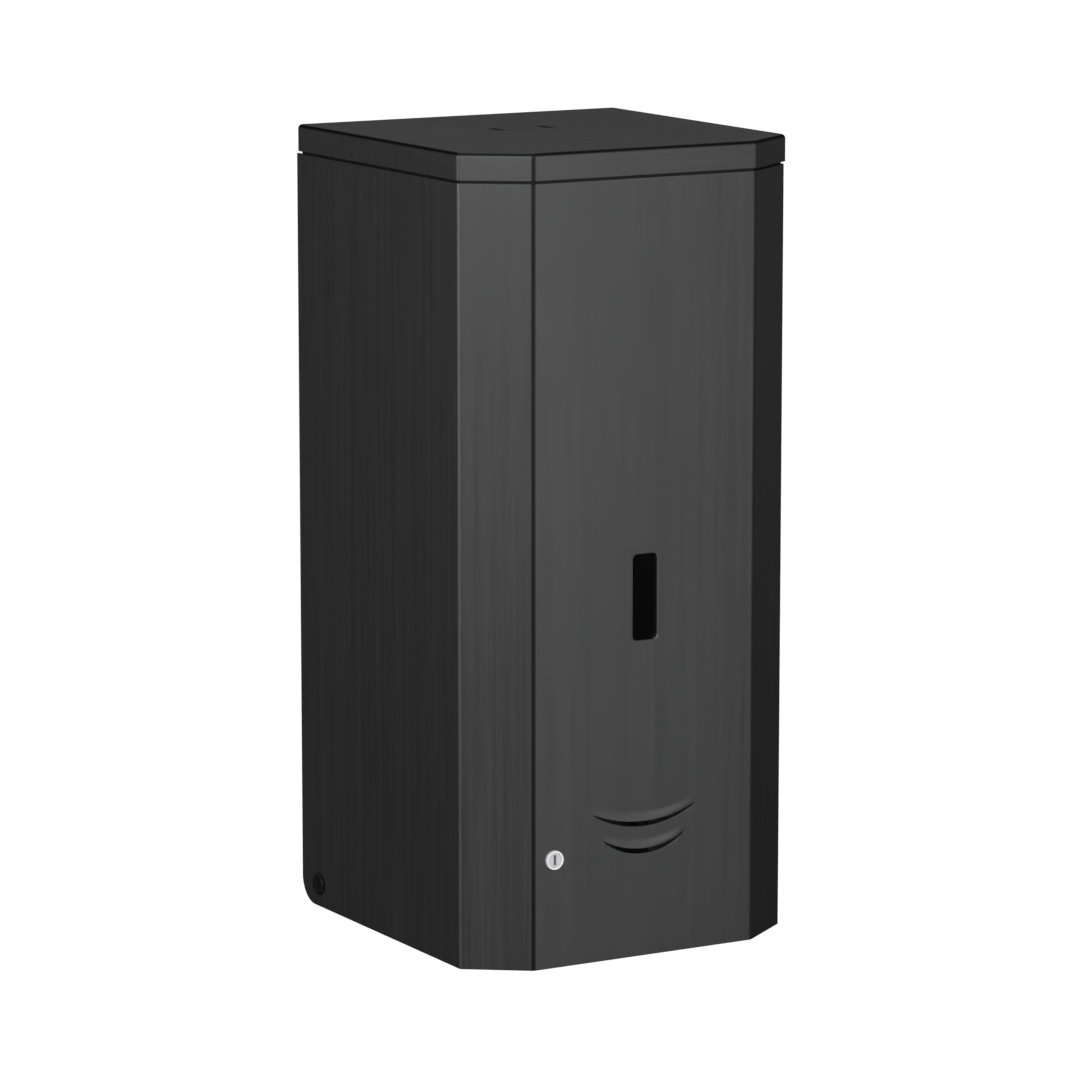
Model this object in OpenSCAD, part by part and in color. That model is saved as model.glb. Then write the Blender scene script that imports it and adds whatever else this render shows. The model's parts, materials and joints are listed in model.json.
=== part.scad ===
// Wall mounted automatic soap dispenser.
// A folded sheet casing with a low lid swings forward and down on two pivot screws.
// Behind it, a wall plate carries the soap tank and, below it, a housing with the pump,
// the batteries and the sensor. Sizes are in millimetres. The wall is the plane y = 0,
// the front faces -Y, and the origin is the middle of the four wall fixings.

/* [Casing] */
// Width of the casing
case_w = 122; // [121:1:126]
// Depth of the casing, from the wall to its front
case_d = 125; // [125:1:130]
// Height of the casing with its lid
case_h = 265; // [265:1:275]
// Thickness of the casing's sheet
sheet = 1; // [0.8:0.1:1.2]
// Width that each front chamfer takes off the front
chamfer_x = 19.6; // [18:0.2:21]
// Depth that each front chamfer takes off the side
chamfer_y = 14; // [12:0.5:15]
// Height of the lid's skirt
lid_h = 9; // [8:0.5:12]
// Seam between the lid and the casing
seam = 0.8; // [0.6:0.1:1.2]
// How far the lid stands proud of the casing
lid_proud = 0.4; // [0.2:0.1:0.6]
// Rounding of the sides' lower rear corners
heel_r = 8.8; // [8:0.1:9.4]

/* [Front] */
// Width of the level slot
slot_w = 9.1; // [8:0.1:11]
// Height of the level slot
slot_h = 28.3; // [24:0.1:32]
// Height of the level slot's middle above the casing's lower edge
slot_z = 119.2; // [116:0.2:124]
// Half widths of the upper and lower louvre
louvre_half = [19.5, 15.5]; // [12:0.1:20]
// Heights of the two louvres' lowest points
louvre_z = [43.4, 34.3]; // [30:0.1:46]
// Drop of each louvre's lower edge from its ends
louvre_drop = 5.6; // [5:0.1:6]
// Opening of each louvre at its middle
louvre_gap = 1.7; // [1.4:0.1:2]
// How far each louvre's lip stands out
louvre_lip = 1.2; // [0.8:0.1:1.6]
// Distance of the lock from the middle
lock_x = 33.9; // [33:0.1:35]
// Height of the lock
lock_z = 36; // [35:0.5:37]

/* [Hinge] */
// Distance of the pivot from the wall
pivot_y = 13.4; // [13.2:0.1:14]
// Height of the pivot
pivot_z = 7.9; // [7.8:0.1:8.4]
// Radius of the pivot screw's shoulder
pivot_r = 2.5; // [2.2:0.1:2.8]

/* [Wall fixings] */
// Distance between the fixings across the wall
fix_w = 64; // [60:1:66]
// Distance between the fixings up the wall
fix_h = 170; // [166:1:172]
// Radius of each fixing hole
fix_r = 2.75; // [2.25:0.25:3]
// Height of the pattern's middle above the casing's lower edge
fix_z = 125; // [124:1:126]

/* [Tank] */
// Width of the tank
tank_w = 100; // [90:1:104]
// Height of the tank's shoulder above the casing's lower edge
tank_top = 222; // [215:1:222]
// Wall of the tank
tank_wall = 2; // [1.6:0.1:2.4]
// Inner radius of the filler neck
neck_r = 21.6; // [20:0.1:22]

/* [Hidden] */
$fn = 64;

black_steel = [0.16, 0.16, 0.16];
black_plastic = [0.10, 0.10, 0.11];
bright_steel = [0.78, 0.78, 0.79];
milky = [0.90, 0.92, 0.92];

// Casing
half_w = case_w / 2;
inner_half = half_w - sheet;
front_half = half_w - chamfer_x;
lid_z = case_h - lid_h;
body_top = lid_z - seam;
turn_front = atan2(chamfer_y, chamfer_x);
turn_side = 90 - turn_front;
bend_out = 1.6;
bend_in = 0.6;
casing_rear = -0.6;
lid_rear = -1.2;
frame_rear = -2.6;
hem = 9;
frame_z = [246, 263];
bridge_y = -50;
bridge_w = 20;
bridge_t = 1.5;
rivet_y = [bridge_y - 6, bridge_y + 6];
rivet_z = 253;

// Chassis
plate_half = inner_half - 0.8;
plate_t = 3;
plate_z = [3, 244];
ear_t = 3;
housing_half = 55;
housing_y = -100;
housing_z = [4.5, 90];
housing_wall = 2.5;
housing_inner = housing_half - housing_wall;
panel_t = 2.5;
rear_fix = [[46, 34], [46, 82]];
base_fix = [[48.5, -58], [48.5, -12]];

// Soap path: every piece of it lies in the plane y = flow_y
flow_y = -88;
nozzle_tip = -5.5;
spigot_r = 3.15;
bore_r = 2;
hose_in = 3.2;
hose_out = 4.8;
inlet_x = -32;
port_z = 46;

// Gears: two equal ones in the pump, and a pinion and a wheel that slow the motor down
pump_teeth = 12;
pump_module = 1;
pinion_teeth = 12;
reduction_teeth = 36;
reduction_module = 0.8;
pump_pitch_r = pump_teeth * pump_module / 2;
pump_axis = [-16, 40];
driven_axis = pump_axis + [0, 2 * pump_pitch_r];
motor_axis = pump_axis + [0, (pinion_teeth + reduction_teeth) * reduction_module / 2];
chamber_y = [-92, -84];
reduction_y = [-77.5, -72.5];
cradle_y = [-70, -67];
cradle_shelf = 24.5;
shaft_r = 2;
play = 0.05;

// Tank
tank_rear = -10;
tank_front = -100;
tank_z = 93;
tank_half = tank_w / 2;
neck_y = -58;
neck_z = tank_top + 8;
lug_x = 30;
lug_z = neck_z;

// Batteries
cell_r = 7.1;
cell_x = 31;
cell_y = [-90.1, -75.7];
cell_gap = 14.5;
tray_x = [16.5, 45.5];
tray_y = [-97.4, -68.4];
tray_z = [13, 65];
tray_wall = 2;
door_x = [12.5, 49.5];
door_z = [9, 69];
rail_top = 80;

// Electronics
board_y = [-16, -14.4];
board_fix_x = 36;
board_fix_z = [16, 78];
plug_y = board_y[0] - 6;
sensor_y = -57;
sensor_fix_x = 19;
switch_y = [housing_y + housing_wall, housing_y + housing_wall + 6.4];
motor_rear = -36;

// Lock
lock_nose_r = 3.15;
plug_r = 2.3;
cam_y = [-110, -108.2];
lock_stud = 12.5;
keeper_t = 1.5;
keeper_top = lock_z - 4.8;
keeper_fix_x = [-20, -12];
keeper_fix_z = keeper_top - 9;

// A box from its lowest corner to its highest
module block(low, high) {
    translate(low) cube(high - low);
}

// A cylinder along Y between two depths
module rod_y(x, z, y, r) {
    translate([x, y[1], z]) rotate([90, 0, 0]) cylinder(h = y[1] - y[0], r = r);
}

// A cylinder along X between two places
module rod_x(x, y, z, r) {
    translate([x[0], y, z]) rotate([0, 90, 0]) cylinder(h = x[1] - x[0], r = r);
}

// A cylinder along Z between two heights
module rod_z(x, y, z, r) {
    translate([x, y, z[0]]) cylinder(h = z[1] - z[0], r = r);
}

// A flat shape in the X-Z plane, made solid between two depths
module plate_y(y) {
    translate([0, y[1], 0]) rotate([90, 0, 0]) linear_extrude(y[1] - y[0]) children();
}

// The same on both sides of the middle
module both_sides() {
    children();
    mirror([1, 0, 0]) children();
}

// Points of an arc that rounds the corner at b, between a and c
function rounded(a, b, c, r, steps = 6) =
    let (
        u = (a - b) / norm(a - b),
        v = (c - b) / norm(c - b),
        half = acos(u * v) / 2,
        centre = b + (u + v) / norm(u + v) * r / sin(half),
        from = b + u * r / tan(half) - centre,
        to = b + v * r / tan(half) - centre,
        start = atan2(from.y, from.x),
        swing = atan2(from.x * to.y - from.y * to.x, from * to)
    )
    [for (i = [0:steps]) centre + r * [cos(start + swing * i / steps), sin(start + swing * i / steps)]];

// An outline with the corners from first to last rounded
function round_corners(points, r, first, last) =
    let (n = len(points))
    [for (i = [0:n - 1]) each (i < first || i > last)
        ? [points[i]]
        : rounded(points[(i + n - 1) % n], points[i], points[(i + 1) % n], r)];

// The casing's outline seen from above, moved inwards by inset, open or closed at the rear
function casing_points(inset, rear) =
    let (
        w = half_w - inset,
        front = -(case_d - inset),
        fx = front_half - inset * tan(turn_front / 2),
        sy = chamfer_y - case_d + inset * tan(turn_side / 2)
    )
    [[-w, rear], [-w, sy], [-fx, front], [fx, front], [w, sy], [w, rear]];

function casing_outline(inset, rear, r) = round_corners(casing_points(inset, rear), r, 1, 4);

// One tooth flank as an involute, from the root to the tip
function involute_angle(r, base) = r <= base ? 0 : let (t = acos(base / r)) tan(t) * 180 / PI - t;

function gear_points(teeth, m, backlash = 0.08) =
    let (
        pitch = teeth * m / 2,
        base = pitch * cos(20),
        tip = pitch + 0.75 * m,
        root = pitch - 1.15 * m,
        half = 90 / teeth - backlash / pitch * 90 / PI + involute_angle(pitch, base),
        radii = [root, base, (base + pitch) / 2, pitch, (pitch + tip) / 2, tip],
        side = [for (r = radii) [r, half - involute_angle(r, base)]]
    )
    [for (k = [0:teeth - 1], j = [0:11])
        let (
            p = j < 6 ? side[j] : side[11 - j],
            a = k * 360 / teeth + (j < 6 ? -p[1] : p[1])
        )
        p[0] * [cos(a), sin(a)]];

// A spur gear along Y, turned by phase degrees
module gear(axis, y, teeth, m, phase, bore) {
    difference() {
        translate([axis.x, y[1], axis.y]) rotate([90, 0, 0]) rotate([0, 0, phase])
            linear_extrude(y[1] - y[0]) polygon(gear_points(teeth, m));
        rod_y(axis.x, axis.y, [y[0] - 1, y[1] + 1], bore);
    }
}

// A pan head screw that points along -Z from a seat at z = 0
module pan_screw(r, length, head_r, head_h) {
    difference() {
        union() {
            translate([0, 0, -length]) cylinder(h = length, r = r);
            cylinder(h = head_h, r = head_r);
        }
        for (a = [0, 90])
            rotate([0, 0, a]) translate([-head_r * 0.55, -r * 0.2, head_h * 0.45])
                cube([head_r * 1.1, r * 0.4, head_h]);
    }
}

// A wire of round section through a list of points
module wire(points, r) {
    for (i = [0:len(points) - 2]) {
        run = points[i + 1] - points[i];
        translate(points[i])
            rotate([0, acos(run.z / norm(run)), atan2(run.y, run.x)])
                cylinder(h = norm(run), r = r, $fn = 24);
        if (i > 0) translate(points[i]) sphere(r = 1.2 * r, $fn = 24);
    }
}

// Crescent between a louvre's lower and upper edge, in the X-Z plane
function arc_r(half, drop) = (half * half + drop * drop) / (2 * drop);

module crescent(half, low) {
    lower_r = arc_r(half, louvre_drop);
    upper_r = arc_r(half, louvre_drop - louvre_gap);
    tip = half - 1.2;
    intersection() {
        difference() {
            translate([0, low + lower_r]) circle(r = lower_r, $fn = 128);
            translate([0, low + louvre_gap + upper_r]) circle(r = upper_r, $fn = 128);
        }
        translate([-tip, low - 1]) square([2 * tip, louvre_drop + 2]);
    }
}

// Lip that is pressed out above a louvre; the louvre's cut trims its lower edge
module louvre_hood(half, low) {
    upper_r = arc_r(half, louvre_drop - louvre_gap);
    spread = asin((half - 5) / upper_r);
    slope = 5;
    trim = 0.7;
    translate([0, -case_d, low + louvre_gap + upper_r]) rotate([90, 0, 0])
        rotate([0, 0, -90 - spread]) rotate_extrude(angle = 2 * spread, $fn = 128)
            polygon([
                [upper_r + trim, -sheet / 2], [upper_r + trim, louvre_lip],
                [upper_r - slope, 0], [upper_r - slope, -sheet / 2]
            ]);
}

// ---------- casing and lid ----------

module level_slot() {
    r = 1.8;
    translate([-slot_w / 2 + r, slot_z - slot_h / 2 + r])
        square([slot_w - 2 * r, slot_h - 2 * r]);
    translate([-slot_w / 2, slot_z - slot_h / 2 + r]) square([slot_w, slot_h - 2 * r]);
    translate([-slot_w / 2 + r, slot_z - slot_h / 2]) square([slot_w - 2 * r, slot_h]);
    for (x = [-1, 1], z = [-1, 1])
        translate([x * (slot_w / 2 - r), slot_z + z * (slot_h / 2 - r)]) circle(r = r);
}

// What is cut from the sides' lower rear corners, so that they clear the wall as they turn
module heel_cut() {
    centre_y = casing_rear - heel_r;
    difference() {
        block([-half_w - 1, centre_y, -1], [half_w + 1, 1, heel_r]);
        rod_x([-half_w - 2, half_w + 2], centre_y, heel_r, heel_r);
    }
}

module casing() {
    color(black_steel) difference() {
        union() {
            difference() {
                linear_extrude(body_top) polygon(casing_outline(0, casing_rear, bend_out));
                translate([0, 0, -1]) linear_extrude(body_top + 2)
                    polygon(casing_outline(sheet, 1, bend_in));
            }
            block(
                [-front_half + 1, sheet - case_d - 0.2, 0],
                [front_half - 1, sheet - case_d + hem, sheet]
            );
            for (i = [0, 1]) louvre_hood(louvre_half[i], louvre_z[i]);
        }
        heel_cut();
        rod_x([-half_w - 1, half_w + 1], -pivot_y, pivot_z, pivot_r + play);
        plate_y([-case_d - 3, 3 - case_d]) {
            level_slot();
            for (i = [0, 1]) crescent(louvre_half[i], louvre_z[i]);
        }
        rod_y(-lock_x, lock_z, [-case_d - 1, 2 - case_d], lock_nose_r + 0.1);
    }
}

// Pins on the casing's sides that meet the wall plate's ears when the casing is fully open
module stop_pins() {
    reach = 11;
    angle = 60;
    y = reach * cos(angle) - pivot_y;
    z = reach * sin(angle) + pivot_z;
    color(bright_steel) both_sides() rod_x([inner_half - 3, inner_half], y, z, 1.5);
}

module lid() {
    color(black_steel) difference() {
        translate([0, 0, lid_z]) linear_extrude(lid_h)
            polygon(round_corners(casing_points(-lid_proud, lid_rear), bend_out, 0, 5));
        translate([0, 0, lid_z - 1]) linear_extrude(lid_h + 1 - sheet)
            polygon(round_corners(casing_points(sheet - lid_proud, lid_rear - sheet), bend_in, 0, 5));
    }
}

module lid_frame() {
    color(black_steel) difference() {
        translate([0, 0, frame_z[0]]) linear_extrude(frame_z[1] - frame_z[0])
            polygon(casing_outline(sheet, frame_rear, bend_in));
        translate([0, 0, frame_z[0] - 1]) linear_extrude(frame_z[1] - frame_z[0] + 2)
            polygon(casing_outline(2 * sheet, frame_rear - sheet, bend_in));
        rivet_holes();
    }
}

module rivet_holes() {
    for (y = rivet_y) rod_x([-half_w, half_w], y, rivet_z, 1.55);
}

module lid_bridge() {
    top = case_h - sheet;
    reach = inner_half - sheet;
    low = bridge_y - bridge_w / 2;
    high = bridge_y + bridge_w / 2;
    color(bright_steel) difference() {
        union() {
            block([-reach, low, top - bridge_t], [reach, high, top]);
            both_sides() block([reach - bridge_t, low, rivet_z - 4], [reach, high, top]);
        }
        rivet_holes();
    }
}

module bridge_rivets() {
    reach = inner_half - sheet - bridge_t;
    color(bright_steel) both_sides() for (y = rivet_y) {
        rod_x([reach, inner_half - 0.1], y, rivet_z, 1.5);
        rod_x([reach - 1.2, reach], y, rivet_z, 2.75);
    }
}

module level_window() {
    back = sheet - case_d;
    color([0.05, 0.05, 0.06]) block([-9, back, slot_z - 20], [9, back + 2, slot_z + 20]);
}

// ---------- lock ----------

module lock_body() {
    back = sheet - case_d;
    color(bright_steel) difference() {
        union() {
            rod_y(-lock_x, lock_z, [-case_d - 0.9, back], lock_nose_r);
            rod_y(-lock_x, lock_z, [back, cam_y[0] - 0.5], 6.5);
            block([-lock_x - 6, back, lock_z - 17], [6 - lock_x, back + 1.5, lock_z + 17]);
            for (z = [-1, 1])
                rod_y(-lock_x, lock_z + z * lock_stud, [back, back + 6], 1.5);
        }
        rod_y(-lock_x, lock_z, [-case_d - 2, cam_y[0] + 1], plug_r + play);
    }
}

module lock_nuts() {
    seat = sheet - case_d + 1.5;
    color(bright_steel) for (z = [-1, 1]) difference() {
        translate([-lock_x, seat + 2.4, lock_z + z * lock_stud]) rotate([90, 0, 0])
            cylinder(h = 2.4, r = 3.2, $fn = 6);
        rod_y(-lock_x, lock_z + z * lock_stud, [seat - 1, seat + 4], 1.55);
    }
}

module lock_plug() {
    color([0.55, 0.55, 0.56]) difference() {
        union() {
            rod_y(-lock_x, lock_z, [-case_d - 0.7, cam_y[0] - 0.3], plug_r);
            block([-lock_x - 1.6, cam_y[0] - 1, lock_z - 1.6], [1.6 - lock_x, cam_y[1], lock_z + 1.6]);
        }
        block([-lock_x - 0.5, -case_d - 2, lock_z - 1.7], [0.5 - lock_x, 2 - case_d, lock_z + 1.7]);
        rod_y(-lock_x, lock_z, [cam_y[0] - 2, cam_y[1] + 1], 1.05);
    }
}

// At rest the cam points up, clear of the keeper; a quarter turn lays it over the keeper
module lock_cam() {
    color(bright_steel) difference() {
        union() {
            rod_y(-lock_x, lock_z, cam_y, 4.5);
            block([-lock_x - 4.5, cam_y[0], lock_z], [4.5 - lock_x, cam_y[1], lock_z + 24]);
        }
        block(
            [-lock_x - 1.65, cam_y[0] - 1, lock_z - 1.65],
            [1.65 - lock_x, cam_y[1] + 1, lock_z + 1.65]
        );
    }
}

module cam_screw() {
    color(bright_steel) translate([-lock_x, cam_y[1], lock_z]) rotate([-90, 0, 0])
        pan_screw(1, 3.4, 3, 1.2);
}

module lock_keeper() {
    top = keeper_top;
    color(bright_steel) difference() {
        union() {
            block([-24, housing_y - keeper_t, top - 15], [-8, housing_y, top]);
            block([-21, housing_y - 12, top - keeper_t], [-9, housing_y, top]);
        }
        for (x = keeper_fix_x) rod_y(x, keeper_fix_z, [housing_y - 3, housing_y + 1], 1.6);
    }
}

module keeper_screws() {
    color(bright_steel) for (x = keeper_fix_x)
        translate([x, housing_y - keeper_t, keeper_fix_z]) rotate([90, 0, 0])
            pan_screw(1.5, 3.9, 2.8, 1.6);
}

// ---------- wall plate and hinge ----------

// One ear of the hinge, with the finger that the casing's stop pin meets
module hinge_ear() {
    x = [plate_half - ear_t, plate_half];
    difference() {
        union() {
            rod_x(x, -pivot_y, pivot_z, 7.5);
            block([x[0], -pivot_y, pivot_z - 4.9], [x[1], -1, pivot_z + 6.6]);
            translate([x[0], -pivot_y, pivot_z]) rotate([162, 0, 0])
                translate([0, 5, -1.5]) cube([ear_t, 8, 3]);
        }
        rod_x([x[0] - 1, x[1] + 1], -pivot_y, pivot_z, 2.02);
    }
}

module back_plate() {
    color(black_plastic) difference() {
        union() {
            block([-plate_half, -plate_t, plate_z[0]], [plate_half, 0, plate_z[1]]);
            both_sides() {
                hinge_ear();
                block([plate_half - 2, -7, 30], [plate_half, -1, plate_z[1]]);
                rod_y(lug_x, lug_z, [tank_rear, -1], 5);
                for (z = [-1, 1]) rod_y(fix_w / 2, fix_z + z * fix_h / 2, [-4.5, -1], 7);
                for (z = board_fix_z) rod_y(board_fix_x, z, [board_y[1], -1], 2.5);
            }
            block([-plate_half, -7, plate_z[1] - 2], [plate_half, -1, plate_z[1]]);
        }
        both_sides() {
            for (z = [-1, 1]) rod_y(fix_w / 2, fix_z + z * fix_h / 2, [-6, 1], fix_r);
            for (p = rear_fix) {
                rod_y(p.x, p.y, [-plate_t - 1, 1], 2.1);
                translate([p.x, -2.1, p.y]) rotate([-90, 0, 0]) cylinder(h = 2.2, r1 = 2, r2 = 4.2);
            }
            rod_y(lug_x, lug_z, [tank_rear - 1, -2], 1.95);
            for (z = board_fix_z) rod_y(board_fix_x, z, [board_y[1] - 1, -6], 1.25);
        }
    }
}

module pivot_screws() {
    color(black_steel) both_sides() difference() {
        union() {
            rod_x([half_w + 0.1, half_w + 1.1], -pivot_y, pivot_z, 3.5);
            rod_x([plate_half, half_w + 0.1], -pivot_y, pivot_z, pivot_r);
            rod_x([plate_half - ear_t, plate_half], -pivot_y, pivot_z, 2);
        }
        translate([half_w + 0.4, -pivot_y - 0.5, pivot_z - 2.6]) cube([2, 1, 5.2]);
    }
}

module pivot_washers() {
    color([0.85, 0.85, 0.82]) both_sides() difference() {
        rod_x([plate_half + 0.1, inner_half - 0.1], -pivot_y, pivot_z, 6);
        rod_x([plate_half, inner_half], -pivot_y, pivot_z, pivot_r + 0.1);
    }
}

// ---------- lower housing ----------

module lower_housing() {
    front_in = housing_y + housing_wall;
    color(black_plastic) difference() {
        union() {
            difference() {
                block([-housing_half, housing_y, housing_z[0]], [housing_half, -plate_t, housing_z[1]]);
                block(
                    [-housing_inner, front_in, housing_z[0] - 1],
                    [housing_inner, 1 - plate_t, housing_z[1] - housing_wall]
                );
            }
            both_sides() {
                for (p = rear_fix) {
                    rod_y(p.x, p.y, [-24, -plate_t], 4.5);
                    block([p.x, -24, p.y - 1], [housing_inner + 1, -plate_t, p.y + 1]);
                }
                for (p = base_fix) {
                    rod_z(p.x, p.y, [housing_z[0], 20], 4);
                    block([p.x, p.y - 2, housing_z[0]], [housing_inner + 1, p.y + 2, 20]);
                }
            }
            door_rails();
        }
        block([tray_x[0], housing_y - 1, tray_z[0]], [tray_x[1], front_in + 1, tray_z[1]]);
        block([-46.5, housing_y - 1, 67.5], [-41.5, front_in + 1, 76.5]);
        rod_z(inlet_x, flow_y, [housing_z[1] - 5, housing_z[1] + 1], 6);
        for (x = keeper_fix_x) rod_y(x, keeper_fix_z, [housing_y - 1, front_in + 1], 1.55);
        both_sides() {
            for (p = rear_fix) rod_y(p.x, p.y, [-22, 1 - plate_t], 1.9);
            for (p = base_fix) rod_z(p.x, p.y, [housing_z[0] - 1, 18], 1.45);
        }
    }
}

// Rails that the battery door slides in, and the stop below it
module door_rails() {
    post = 2.6;
    lip = 1.5;
    for (side = [0, 1]) {
        outer = side == 0 ? door_x[0] - 0.3 - post : door_x[1] + 0.3;
        inner = side == 0 ? door_x[0] - 0.3 - post : door_x[1] - lip;
        block([outer, housing_y - 4.6, door_z[0]], [outer + post, housing_y + 1, rail_top]);
        block(
            [inner, housing_y - 4.6, door_z[0]],
            [inner + post + 0.3 + lip, housing_y - 2.6, rail_top]
        );
    }
    block(
        [door_x[0] - 0.3 - post, housing_y - 4.6, door_z[0] - 2.3],
        [door_x[1] + 0.3 + post, housing_y + 1, door_z[0] - 0.3]
    );
}

module housing_screws() {
    color(bright_steel) both_sides() for (p = rear_fix) difference() {
        union() {
            rod_y(p.x, p.y, [-20, -2.1], 1.85);
            translate([p.x, -2.2, p.y]) rotate([-90, 0, 0]) cylinder(h = 2, r1 = 1.85, r2 = 3.8);
        }
        for (a = [0, 90]) translate([p.x, -1, p.y]) rotate([0, a, 0])
            translate([-2, 0, -0.4]) cube([4, 2, 0.8]);
    }
}

module base_panel() {
    top = housing_z[0];
    low = top - panel_t;
    color(black_plastic) difference() {
        union() {
            block([-housing_half, housing_y, low], [housing_half, -plate_t - 0.2, top]);
            translate([0, 0, low - 6]) linear_extrude(6.5) nose_outline();
            both_sides() rod_z(sensor_fix_x, sensor_y, [top - 1, 14], 2.5);
        }
        rod_z(0, flow_y, [low - 8, top + 1], 5.1);
        rod_z(12, flow_y, [low - 8, top + 1], 2.6);
        block([-13.6, sensor_y - 6.6, low - 1], [13.6, sensor_y + 6.6, top + 1]);
        both_sides() for (p = base_fix) rod_z(p.x, p.y, [low - 1, top + 1], 1.8);
        both_sides() rod_z(sensor_fix_x, sensor_y, [8, 15], 1);
    }
}

// Rounded nose that the nozzle comes out of
module nose_outline() {
    translate([-14, flow_y - 10]) square([28, 20]);
    for (x = [-14, 14]) translate([x, flow_y]) circle(r = 10);
}

module base_screws() {
    low = housing_z[0] - panel_t;
    color(bright_steel) both_sides() for (p = base_fix)
        translate([p.x, p.y, low]) rotate([180, 0, 0]) pan_screw(1.4, 14, 3, 1.8);
}

// ---------- soap path ----------

module nozzle() {
    top = housing_z[0];
    color([0.35, 0.35, 0.36]) difference() {
        union() {
            translate([0, flow_y, nozzle_tip]) cylinder(h = 3, r1 = 3.4, r2 = 5);
            rod_z(0, flow_y, [nozzle_tip + 3, top], 5);
            rod_z(0, flow_y, [top, top + 2.5], 8);
            rod_z(0, flow_y, [top + 2.5, 30], spigot_r);
        }
        rod_z(0, flow_y, [nozzle_tip - 1, 31], bore_r);
    }
}

module nozzle_valve() {
    color([0.8, 0.8, 0.8]) difference() {
        rod_z(0, flow_y, [nozzle_tip + 0.6, 2], bore_r - 0.05);
        block([-1.5, flow_y - 0.15, nozzle_tip], [1.5, flow_y + 0.15, nozzle_tip + 3]);
        rod_z(0, flow_y, [nozzle_tip + 3, 3], 1.2);
    }
}

module hose(x, z) {
    difference() {
        rod_z(x, flow_y, z, hose_out);
        rod_z(x, flow_y, [z[0] - 1, z[1] + 1], hose_in);
    }
}

module delivery_tube() {
    color(milky) hose(0, [14, 41.5]);
}

module inlet_tube() {
    color(milky) hose(inlet_x, [52, tank_z - 0.3]);
}

module outlet_grommet() {
    color(black_plastic) difference() {
        union() {
            rod_z(inlet_x, flow_y, [86, tank_z - 0.5], 5.9);
            rod_z(inlet_x, flow_y, [housing_z[1], housing_z[1] + 1.5], 8);
        }
        rod_z(inlet_x, flow_y, [85, tank_z], hose_out + 0.05);
    }
}

module pump_body() {
    x = [pump_axis.x - 10, pump_axis.x + 10];
    rear = chamber_y[1] + 4;
    color([0.25, 0.25, 0.27]) difference() {
        union() {
            block([x[0], chamber_y[0], cradle_shelf], [x[1], rear, driven_axis.y + 9]);
            rod_x([inlet_x, x[0] + 1], flow_y, port_z, 4);
            rod_x([x[1] - 1, 0], flow_y, port_z, 4);
            for (px = [inlet_x, 0]) translate([px, flow_y, port_z]) sphere(r = 4);
            rod_z(inlet_x, flow_y, [port_z, 62], spigot_r);
            rod_z(0, flow_y, [32, port_z], spigot_r);
        }
        for (a = [pump_axis, driven_axis])
            rod_y(a.x, a.y, [chamber_y[0] - 1, chamber_y[1]], pump_pitch_r + 0.75 * pump_module + 0.2);
        rod_x([inlet_x, 0], flow_y, port_z, bore_r);
        rod_z(inlet_x, flow_y, [port_z, 63], bore_r);
        rod_z(0, flow_y, [31, port_z], bore_r);
        rod_y(pump_axis.x, pump_axis.y, [chamber_y[1] - 1, rear + 1], shaft_r + play);
        rod_y(pump_axis.x, pump_axis.y, [rear - 2, rear + 1], 4.5);
        rod_y(driven_axis.x, driven_axis.y, [chamber_y[1] - 1, chamber_y[1] + 2], 1.5 + play);
        pump_screw_holes();
    }
}

module pump_screw_places() {
    for (x = [-7.5, 7.5], z = [pump_axis.y - 6, driven_axis.y + 6])
        translate([pump_axis.x + x, chamber_y[0], z]) rotate([90, 0, 0]) children();
}

module pump_screw_holes() {
    pump_screw_places() translate([0, 0, -8]) cylinder(h = 12, r = 1.3);
}

module pump_cover() {
    x = [pump_axis.x - 10, pump_axis.x + 10];
    color([0.3, 0.3, 0.32]) difference() {
        block([x[0], chamber_y[0] - 3, 31], [x[1], chamber_y[0], driven_axis.y + 9]);
        pump_screw_holes();
    }
}

module pump_screws() {
    color(bright_steel) pump_screw_places() translate([0, 0, 3]) pan_screw(1.25, 10.5, 2.4, 1.4);
}

module shaft_seal() {
    rear = chamber_y[1] + 4;
    color([0.08, 0.08, 0.08]) difference() {
        rod_y(pump_axis.x, pump_axis.y, [rear - 1.95, rear], 4.45);
        rod_y(pump_axis.x, pump_axis.y, [rear - 3, rear + 1], shaft_r + play);
    }
}

// Stand for the pump and the motor, on the base panel
module pump_cradle() {
    x = [-36, 4];
    floor_z = housing_z[0];
    color(black_plastic) difference() {
        union() {
            block([x[0], cradle_y[0], floor_z], [x[1], cradle_y[1], 76]);
            block([x[0], -96, cradle_shelf - 2.5], [-9.5, cradle_y[0], cradle_shelf]);
            for (leg = [-36, -12])
                block([leg, -96, floor_z], [leg + 2.5, cradle_y[0], cradle_shelf]);
        }
        rod_y(pump_axis.x, pump_axis.y, [cradle_y[0] - 1, cradle_y[1] + 1], shaft_r + play);
        rod_y(motor_axis.x, motor_axis.y, [cradle_y[0] - 1, cradle_y[1] + 1], 3.6);
    }
}

module motor() {
    color(bright_steel) difference() {
        union() {
            rod_y(motor_axis.x, motor_axis.y, [cradle_y[1], motor_rear], 12);
            rod_y(motor_axis.x, motor_axis.y, [cradle_y[0], cradle_y[1]], 3.5);
            rod_y(motor_axis.x, motor_axis.y, [motor_rear, motor_rear + 1.5], 3.5);
            for (x = [-5, 5]) rod_y(motor_axis.x + x, motor_axis.y, [motor_rear, motor_rear + 3], 1);
        }
        rod_y(motor_axis.x, motor_axis.y, [cradle_y[0] - 1, -60], 1 + play);
    }
}

module motor_shaft() {
    color(bright_steel) rod_y(motor_axis.x, motor_axis.y, [reduction_y[0] - 1, -60.2], 1);
}

module motor_pinion() {
    color([0.85, 0.82, 0.7])
        gear(motor_axis, reduction_y, pinion_teeth, reduction_module, 180 / pinion_teeth + 90, 1.02);
}

module reduction_gear() {
    color([0.85, 0.82, 0.7])
        gear(pump_axis, reduction_y, reduction_teeth, reduction_module, 90, shaft_r + 0.02);
}

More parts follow.
